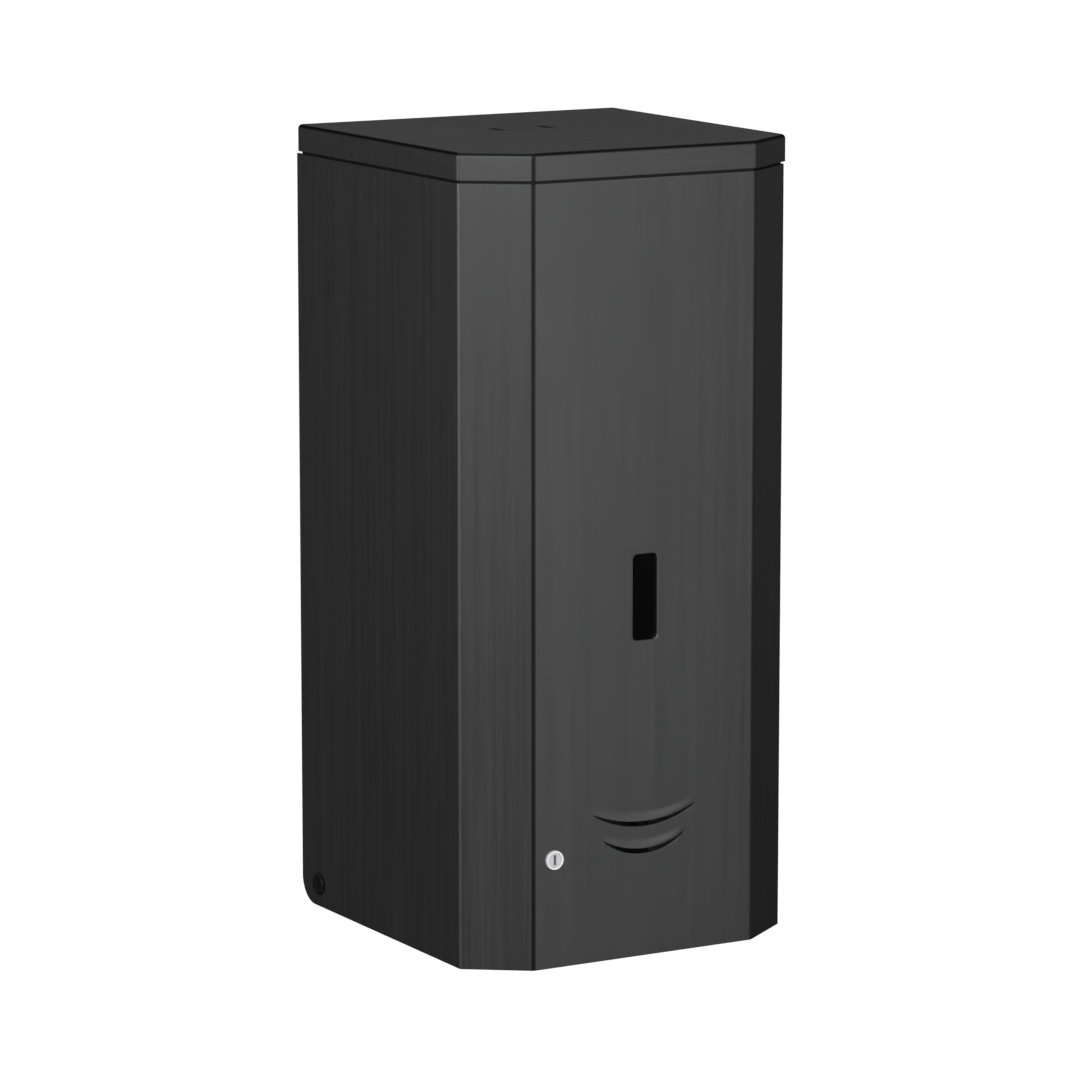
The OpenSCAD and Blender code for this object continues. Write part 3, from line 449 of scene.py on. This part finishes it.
class Fold:
    """A line of straight runs and arcs seen from above: a place along it gives a point and a normal."""

    def __init__(self, corners, radii):
        # each part: its kind, start, length, base point, direction and, for an arc, its radius
        self.parts = []
        self.length = 0.0
        corners = [Vector(c) for c in corners]
        here = corners[0]
        for i, r in zip(range(1, len(corners) - 1), radii):
            a, b, c = corners[i - 1], corners[i], corners[i + 1]
            u, v = (b - a).normalized(), (c - b).normalized()
            turn = acos(u.dot(v))
            cut = r * tan(turn / 2)
            self.straight(here, b - u * cut)
            left = Vector((-u.y, u.x))
            self.parts.append(("arc", self.length, r * turn, b - u * cut + left * r, -left, r))
            self.length += r * turn
            here = b + v * cut
        self.straight(here, corners[-1])

    def straight(self, a, b):
        d = (b - a).normalized()
        self.parts.append(("run", self.length, (b - a).length, a, d, None))
        self.length += (b - a).length

    def at(self, s):
        """The point and the outward normal at a distance s along the line."""
        for kind, start, length, base, way, r in self.parts:
            if s <= start + length + 1e-9:
                break
        if kind == "run":
            return base + way * (s - start), Vector((way.y, -way.x))
        a = (s - start) / r
        normal = Vector((way.x * cos(a) - way.y * sin(a), way.x * sin(a) + way.y * cos(a)))
        return base + normal * r, normal

    def arcs(self):
        """Where each bend starts and ends along the line."""
        return [(start, start + length) for kind, start, length, *_ in self.parts if kind == "arc"]


def plan_corners(grow, rear):
    """The casing's corners from above, from the left rear to the right rear, moved outwards by grow."""
    half_front = HALF_W - CHAMFER_X
    turn = atan2(CHAMFER_Y, CHAMFER_X)
    w, f = HALF_W + grow, -(FRONT + grow)
    fx = half_front + grow * tan(turn / 2)
    sy = -(FRONT - CHAMFER_Y) - grow * tan((pi / 2 - turn) / 2)
    return [(-w, -rear), (-w, sy), (-fx, f), (fx, f), (w, sy), (w, -rear)]


def louvre_lift(x, z):
    """How far the front stands out at a point beside a louvre."""
    lift = 0.0
    for half, low in LOUVRES:
        r, centre = louvre_arcs(half, low)[1]
        if abs(x) >= half or z > centre:
            continue
        above = z - (centre - sqrt(r * r - x * x))
        across = 1 - (x / half) ** 2
        if -0.5 * MM < above < LOUVRE_FADE:
            t = max(above, 0) / LOUVRE_FADE
            lift = max(lift, LOUVRE_LIP * across * (1 - t * t * (3 - 2 * t)))
    return lift


def fill(outer, holes, seeds):
    """Triangles between an outline and its holes, through extra seed points."""
    loops = [outer] + holes
    points, edges = [], []
    for loop in loops:
        first = len(points)
        points += loop
        edges += [(first + k, first + (k + 1) % len(loop)) for k in range(len(loop))]
    points += seeds
    verts, _, faces, *_ = delaunay_2d_cdt([Vector(p) for p in points], edges, [], 0, 1e-7)
    kept = []
    for f in faces:
        cx = sum(verts[i].x for i in f) / len(f)
        cy = sum(verts[i].y for i in f) / len(f)
        if inside((cx, cy), outer) and not any(inside((cx, cy), h) for h in holes):
            kept.append(list(f))
    return [tuple(v) for v in verts], kept


def sheet_mesh(name, outer, holes, seeds, place, painted_tone_at):
    """Folds a flat pattern into a sheet of real thickness with rounded cut edges.

    place(s, z, depth) gives the point in space, depth below the outer face.
    """
    bm = bmesh.new()
    fold = bm.verts.layers.float.new("fold")
    inner_outer = offset_loop(outer, -EDGE)
    grown = [offset_loop(h, EDGE) for h in holes]
    verts, faces = fill(inner_outer, grown, seeds)
    made = {}

    def vert(s, z, depth):
        key = (round(s, 8), round(z, 8), round(depth, 8))
        if key not in made:
            made[key] = bm.verts.new(place(s, z, depth))
            made[key][fold] = painted_tone_at(s, z)
        return made[key]

    for depth, flip in ((0.0, False), (SHEET, True)):
        for f in faces:
            ring = [vert(*verts[i], depth) for i in f]
            if anticlockwise([verts[i] for i in f]) == flip:
                ring.reverse()
            add_face(bm, ring)

    # the cut edges, rounded towards both faces of the sheet
    turns = [pi / 2 * k / 3 for k in range(4)]
    profile = [(EDGE * (1 - sin(a)), EDGE * (1 - cos(a))) for a in turns]
    profile += [(away, SHEET - depth) for away, depth in reversed(profile)]
    for loop, sign in [(outer, -1)] + [(h, 1) for h in holes]:
        rings = []
        for away, depth in profile:
            shape = offset_loop(loop, sign * away) if away > 1e-12 else loop
            rings.append([vert(*p, depth) for p in shape])
        for r0, r1 in zip(rings, rings[1:]):
            for k in range(len(loop)):
                j = (k + 1) % len(loop)
                if sign < 0:
                    add_face(bm, [r0[k], r1[k], r1[j], r0[j]])
                else:
                    add_face(bm, [r0[j], r1[j], r1[k], r0[k]])
    bmesh.ops.recalc_face_normals(bm, faces=bm.faces)
    mesh = to_mesh(bm, name)
    smooth(mesh)
    return mesh


GRID = 5                # millimetres between the rows of extra points on the casing's faces
COLUMNS = 60            # and the number of columns of them round the casing
BEND_STEPS = 8          # flat strips in each bend
HEEL_STEPS = 12         # straight pieces in each rounded lower rear corner
BEND_CLEAR = 1.5 * MM   # a column keeps this far from the bends' own points
HOLE_CLEAR = 0.35 * MM  # and every extra point this far from a hole's rounded edge


def casing():
    line = Fold(plan_corners(0, REAR), (BEND, BEND_FRONT, BEND_FRONT, BEND))
    length, middle = line.length, line.length / 2
    arcs = line.arcs()

    def front_s(x):
        return middle + x

    # the outline also needs points where the sheet bends
    bends = sorted(a + (b - a) * k / BEND_STEPS for a, b in arcs for k in range(BEND_STEPS + 1))
    outer = arc(HEEL, HEEL, HEEL, pi, 1.5 * pi, HEEL_STEPS)
    outer += [(s, 0) for s in bends]
    outer += arc(length - HEEL, HEEL, HEEL, 1.5 * pi, 2 * pi, HEEL_STEPS)
    outer.append((length, BODY_H))
    outer += [(s, BODY_H) for s in reversed(bends)]
    outer.append((0, BODY_H))
    holes = [rounded_box(middle, SLOT_Z - BOTTOM, SLOT_W, SLOT_H, SLOT_R)]
    holes += [[(front_s(x), z) for x, z in crescent(half, low)] for half, low in LOUVRES]
    holes.append(circle(front_s(LOCK_X), LOCK_Z - BOTTOM, LOCK_R))
    for s in (PIVOT_Y - REAR, length - (PIVOT_Y - REAR)):
        holes.append(circle(s, PIVOT_Z - BOTTOM, PIVOT_R))

    rows = [k * GRID * MM for k in range(1, int(BODY_H / (GRID * MM)))]
    seeds = [(s, z) for s in bends for z in rows]
    for k in range(1, COLUMNS):
        s = length * k / COLUMNS
        if min(abs(s - b) for b in bends) > BEND_CLEAR:
            seeds += [(s, z) for z in rows]
    for half, low in LOUVRES:
        # a finer net above each louvre, where the sheet stands out
        r, centre = louvre_arcs(half, low)[1]
        for i in range(-30, 31):
            x = (half - 2 * LOUVRE_TIP) * i / 30
            for j in range(1, 9):
                z = centre - sqrt(r * r - x * x) + (LOUVRE_FADE + 0.5 * MM) * j / 8
                seeds.append((front_s(x), z))
    clear = [offset_loop(h, EDGE + HOLE_CLEAR) for h in holes]
    seeds = [p for p in seeds if not any(inside(p, h) for h in clear)]

    def place(s, z, depth):
        point, normal = line.at(min(max(s, 0), length))
        out = louvre_lift(s - middle, z) - depth
        return (point.x + normal.x * out, point.y + normal.y * out, z + BOTTOM)

    def painted_tone_at(s, z):
        # painted shade on the top cut edge, which would catch light in the seam below the lid
        if z > BODY_H - EDGE / 2:
            return 1.0
        # painted shade or painted highlight across each bend, in place of its reflection
        for k, (a, b) in enumerate(arcs):
            if a < s < b:
                return BEND_PAINTED_TONES[k] * painted_tone_across((s - a) / (b - a))
        return 0.0

    mesh = sheet_mesh("casing_sheet", outer, holes, seeds, place, painted_tone_at)
    obj = new_object("casing_sheet", mesh)
    finish_piece(obj, "cover", ["casing"], materials[STEEL_SLOT], STEEL_SLOT)


def hem():
    """The strip folded inwards below the front, with a rounded fold and a rounded free edge."""
    half = HALF_W - CHAMFER_X - SHEET
    y0 = SHEET - FRONT
    tip = HEM - SHEET / 2
    free_edge = arc(0, 0, SHEET / 2, -pi / 2, pi / 2, 6)
    outline = [(0, 0), (tip, 0)]
    outline += [(tip + y, SHEET / 2 + z) for y, z in free_edge]
    outline.append((SHEET, SHEET))
    outline += [(SHEET * (1 - sin(a)), SHEET * (2 - cos(a))) for a in (pi / 8, pi / 4, 3 * pi / 8)]
    outline.append((0, 2 * SHEET))
    bm = bmesh.new()
    rings = []
    sections = 12
    for k in range(sections + 1):
        x = -half + 2 * half * k / sections
        rings.append([bm.verts.new((x, y0 + y, BOTTOM + z)) for y, z in outline])
    for a, b in zip(rings, rings[1:]):
        join_rings(bm, a, b)
    bm.faces.new(rings[0])
    bm.faces.new(rings[-1])
    bmesh.ops.remove_doubles(bm, verts=bm.verts, dist=0.001 * MM)
    bmesh.ops.recalc_face_normals(bm, faces=bm.faces)
    mesh = to_mesh(bm, "casing_hem")
    smooth(mesh)
    obj = new_object("casing_hem", mesh)
    finish_piece(obj, "cover", ["casing"], materials[STEEL_SLOT], STEEL_SLOT)


casing()
hem()

# ---------- the lid ----------

CORNER_STEPS = 8        # flat strips in each rounded corner of the lid's outline
FRONT_CORNERS = (2, 3)  # the two corners beside the front, which have the larger radius
PAINTED_SHADE_CORNER = 2         # the corner of the skirt that gets painted shade, above the casing's bend with painted shade


def plan_loop(grow, rear, inset):
    """The lid's closed outline from above, with rounded corners, at an inset from its outer face."""
    corners = [Vector(c) for c in plan_corners(grow, rear)]
    out = []
    n = len(corners)
    for i in range(n):
        outer_r = BEND_FRONT if i in FRONT_CORNERS else BEND
        r = max(outer_r - inset, 0.02 * MM)
        a, b, c = corners[i - 1], corners[i], corners[(i + 1) % n]
        u, v = (b - a).normalized(), (c - b).normalized()
        turn = acos(max(-1, min(1, u.dot(v))))
        cut = r * tan(turn / 2)
        left = Vector((-u.y, u.x))
        centre = b - u * cut + left * r
        for k in range(CORNER_STEPS + 1):
            t = turn * k / CORNER_STEPS
            way_x = -left.x * cos(t) + left.y * sin(t)
            way_y = -left.x * sin(t) - left.y * cos(t)
            out.append((centre.x + way_x * r, centre.y + way_y * r))
    return out


# two shallow dark marks on top of the lid, where the bridge below it is taken to be welded on
WELD_MARKS = ((-12.9 * MM, -50.5 * MM), (5.5 * MM, -50.7 * MM))
WELD_W, WELD_L, WELD_DEPTH = 4.6 * MM, 14.0 * MM, 0.12 * MM
WELD_TONE = 1.7         # a tone above 1 makes the steel rougher too

TOP_GRID = 5.1          # millimetres between the extra points on the lid's top
ROLL_STEPS = 6          # flat strips in the lid's rolled top edge
PAINTED_ROLL_SPREAD = 1.5       # above 1, the roll's painted dark line, in place of its reflection, is narrower than the roll


def weld_dip(x, y):
    dip = 0.0
    for mx, my in WELD_MARKS:
        q = ((x - mx) / (WELD_W / 2)) ** 2 + ((y - my) / (WELD_L / 2)) ** 2
        if q < 1:
            dip += WELD_DEPTH * (1 - q)
    return dip


def top_seeds(outline):
    """Extra points over the lid's top, and a finer net of them at each weld mark."""
    clear = offset_loop(outline, -2 * MM)
    net = [(i * TOP_GRID * MM, -j * TOP_GRID * MM) for i in range(-11, 12) for j in range(1, 24)]
    seeds = [p for p in net if inside(p, clear)]
    for mx, my in WELD_MARKS:
        for i in range(-5, 6):
            for j in range(-5, 6):
                seeds.append((mx + i * WELD_W / 8, my + j * WELD_L / 8))
    return seeds


def close_top(bm, fold, loop, down):
    """Fills a ring of the lid with flat faces; the side that faces up dips at the weld marks."""
    z = loop[0].co.z
    outline = []
    for v in loop:
        p = (v.co.x, v.co.y)
        if not outline or hypot(p[0] - outline[-1][0], p[1] - outline[-1][1]) > 0.01 * MM:
            outline.append(p)
    verts, faces = fill(outline, [], top_seeds(outline))
    made = []
    for x, y in verts:
        dip = 0.0 if down else weld_dip(x, y)
        v = bm.verts.new((x, y, z - dip))
        v[fold] = WELD_TONE * dip / WELD_DEPTH
        made.append(v)
    for f in faces:
        ring = [made[i] for i in f]
        if anticlockwise([verts[i] for i in f]) == down:
            ring.reverse()
        bm.faces.new(ring)


def lid():
    bm = bmesh.new()
    fold = bm.verts.layers.float.new("fold")
    rear = -lid_high.y
    # the tray's section as pairs of inset and height: up the outer face, over the roll, and down inside
    outer = [(EDGE, -LID_H), (0, -LID_H + EDGE), (0, -0.55 * LID_H), (0, -ROLL)]
    roll_start = len(outer) - 1
    turns = [pi / 2 * k / ROLL_STEPS for k in range(1, ROLL_STEPS + 1)]
    outer += [(ROLL * (1 - cos(a)), -ROLL * (1 - sin(a))) for a in turns]
    inner_r = ROLL - SHEET
    turns = [pi / 2 * k / 3 for k in range(3, -1, -1)]
    inner = [(ROLL - inner_r * cos(a), -ROLL + inner_r * sin(a)) for a in turns]
    inner += [(SHEET, -LID_H + EDGE), (SHEET - EDGE, -LID_H)]

    def lid_painted_shade(index, corner, step):
        """How much painted shade a point gets: at the cut edge, along the roll and at one corner of the
        skirt.
        """
        if index == 0:
            return 1.0
        if corner == PAINTED_SHADE_CORNER and 0 < step < CORNER_STEPS and index <= roll_start + 1:
            return painted_tone_across(step / CORNER_STEPS)
        if roll_start < index < roll_start + ROLL_STEPS:
            return sin(pi * (index - roll_start) / ROLL_STEPS) ** PAINTED_ROLL_SPREAD
        return 0.0

    rings = []
    for index, (inset, z) in enumerate(outer + inner):
        outline = plan_loop(PROUD - inset, rear + inset, inset)
        loop = [bm.verts.new((x, y, lid_high.z + z)) for x, y in outline]
        for k, v in enumerate(loop):
            v[fold] = lid_painted_shade(index, *divmod(k, CORNER_STEPS + 1))
        rings.append(loop)

    # the outer side ends in one ring at the top and the inner side in the next: each is closed alone
    top_outer = len(outer) - 1
    for index, (a, b) in enumerate(zip(rings, rings[1:] + rings[:1])):
        if index != top_outer:
            join_rings(bm, a, b)
    close_top(bm, fold, rings[top_outer], False)
    close_top(bm, fold, rings[top_outer + 1], True)
    bmesh.ops.remove_doubles(bm, verts=bm.verts, dist=0.012 * MM)
    bmesh.ops.recalc_face_normals(bm, faces=bm.faces)
    mesh = to_mesh(bm, "lid_tray")
    smooth(mesh)
    obj = new_object("lid_tray", mesh)
    finish_piece(obj, "cover", ["lid"], materials["lid_top"], STEEL_SLOT)


lid()

# ---------- the other nodes, with softened edges ----------


BEVEL_ANGLE = radians(28)               # edges that turn more than this are rounded
BEVEL_SEGMENTS = 2


def soften(node, body, mat, width, slot):
    """A copy of a CAD node with its flat faces joined and its edges rounded to a width."""
    source = frame["nodes"][node]
    mesh = source.data.copy()
    mesh.name = node + "_soft"
    bm = bmesh.new()
    bm.from_mesh(mesh)
    bmesh.ops.remove_doubles(bm, verts=bm.verts, dist=2e-6)
    bmesh.ops.dissolve_limit(
        bm, angle_limit=radians(0.6), verts=bm.verts, edges=bm.edges, use_dissolve_boundaries=False
    )
    bm.to_mesh(mesh)
    bm.free()
    old_normals = mesh.attributes.get("custom_normal")
    if old_normals:
        mesh.attributes.remove(old_normals)
    obj = new_object(node + "_soft", mesh)
    smooth(mesh)
    bevel = obj.modifiers.new("edges", "BEVEL")
    bevel.width = width
    bevel.segments = BEVEL_SEGMENTS
    bevel.limit_method = "ANGLE"
    bevel.angle_limit = BEVEL_ANGLE
    bevel.use_clamp_overlap = True
    bevel.harden_normals = False
    bevel.miter_outer = "MITER_ARC"
    finish_piece(obj, body, [node], mat, slot)


BODIES = frame["record"]["behaviour"]["bodies"]
BODY_OF = {node: body for body, members in BODIES.items() for node in members}
SLOT_OF = {entry["node"]: entry["material_slot"] for entry in frame["record"]["subparts"]}

# the lid frame takes the near-black steel that paints shade into the seam
OWN_LOOK = {"pivot_screws": "screw_black", "lid_frame": "seam_painted_shade"}
FINE = (
    "battery_contacts", "drive_gear", "driven_gear", "motor_pinion", "nozzle_valve", "ir_emitter",
    "ir_receiver", "status_led", "wiring_loom", "motor_shaft", "shaft_seal", "plug_seal",
)
FINE_EDGE = 0.1 * MM
USUAL_EDGE = 0.25 * MM

for node in frame["nodes"]:
    if node in ("casing", "lid"):
        continue
    look = materials[OWN_LOOK.get(node, SLOT_OF[node])]
    soften(node, BODY_OF[node], look, FINE_EDGE if node in FINE else USUAL_EDGE, SLOT_OF[node])

# ---------- studio ----------

MIDDLE = Vector((0, -FRONT / 2, (BOTTOM + lid_high.z) / 2))


def softbox(name, power, size, distance, azimuth, elevation):
    """A flat light that faces the object's middle: azimuth 0 is in front, and grows to the right."""
    light = bpy.data.lights.new(name, "AREA")
    light.shape = "RECTANGLE"
    light.size, light.size_y = size
    light.energy = power
    obj = new_object(name, light)
    way = Vector((
        sin(radians(azimuth)) * cos(radians(elevation)),
        -cos(radians(azimuth)) * cos(radians(elevation)),
        sin(radians(elevation)),
    ))
    obj.location = MIDDLE + way * distance
    obj.rotation_euler = (-way).to_track_quat("-Z", "Y").to_euler()


LIGHTS = (
    # name, power in watts, size, distance, azimuth and elevation in degrees
    ("key", 6.7, (0.9, 0.9), 1.6, -38, 18),
    ("front", 15.6, (1.0, 1.5), 1.8, 5, 8),
    ("left", 8.8, (0.8, 1.2), 1.8, -85, 15),
    ("left_rear", 2.7, (0.9, 1.2), 1.8, -122, 12),
    ("right", 0.3, (0.8, 1.2), 1.8, 100, 8),
    ("right_rear", 12.0, (0.9, 0.8), 1.8, 150, -10),
    ("rear", 6.0, (0.7, 0.8), 1.8, 165, -18),
    ("back_top", 0.88, (1.2, 1.2), 1.8, 150, 35),
    ("top", 9.0, (1.2, 1.2), 1.8, 160, 82),
)
for entry in LIGHTS:
    softbox(*entry)

WORLD_LIGHT = 1.1
FLOOR_DROP = 1.6        # the dispenser hangs above the floor, as it would on a wall
FLOOR_INNER = 0.25      # radius of the floor's innermost ring; each next ring is twice as wide
FLOOR_RINGS = 9

world = bpy.data.worlds.new("studio")
bpy.context.scene.world = world
world.use_nodes = True
background = world.node_tree.nodes["Background"]
background.inputs["Color"].default_value = (1, 1, 1, 1)
background.inputs["Strength"].default_value = WORLD_LIGHT
world.cycles_visibility.glossy = False      # the steel mirrors only the flat lights


def floor():
    """A wide pale floor, in rings that grow outwards."""
    bm = bmesh.new()
    height = BOTTOM - FLOOR_DROP
    rings = []
    for step in range(FLOOR_RINGS):
        ring = circle(0, 0, FLOOR_INNER * 2 ** step, 64)
        rings.append([bm.verts.new((x, y, height)) for x, y in ring])
    bm.faces.new(rings[0])
    for a, b in zip(rings, rings[1:]):
        join_rings(bm, b, a)
    obj = new_object("floor", to_mesh(bm, "floor"))
    s = Shader("floor_pale", (0.93, 0.93, 0.93), 0.8, Specular_IOR_Level=0.0)
    grain = s.noise(60, 3, 0.5)
    s.wire(s.mix(s.ramp(grain, 0, 1), (0.925, 0.925, 0.925), (0.935, 0.935, 0.935)), "Base Color")
    obj.data.materials.append(s.mat)
    obj.visible_glossy = False


floor()

CAMERA_LENS = 176.67                    # millimetres, with the sensor's width below
CAMERA_SENSOR = 36
CAMERA_YAW = radians(29.90)             # the camera stands to the left of the front
CAMERA_PITCH = radians(9.92)            # and looks down on it
CAMERA_DISTANCE = 1.7638
CAMERA_LEFT = 2.757 * MM                # how far the view's middle lies to the left of the object's
CAMERA_DOWN = 4.06 * MM                 # and below it

camera_data = bpy.data.cameras.new("camera")
camera = new_object("camera", camera_data)
camera_data.lens = CAMERA_LENS
camera_data.sensor_width = CAMERA_SENSOR
bpy.context.scene.camera = camera
forward = Vector((
    sin(CAMERA_YAW) * cos(CAMERA_PITCH),
    cos(CAMERA_YAW) * cos(CAMERA_PITCH),
    -sin(CAMERA_PITCH),
))
right = Vector((cos(CAMERA_YAW), -sin(CAMERA_YAW), 0))
up = right.cross(forward)
camera.location = MIDDLE - right * CAMERA_LEFT - up * CAMERA_DOWN - forward * CAMERA_DISTANCE
camera.rotation_euler = forward.to_track_quat("-Z", "Y").to_euler()

bpy.context.scene.view_settings.view_transform = "Standard"
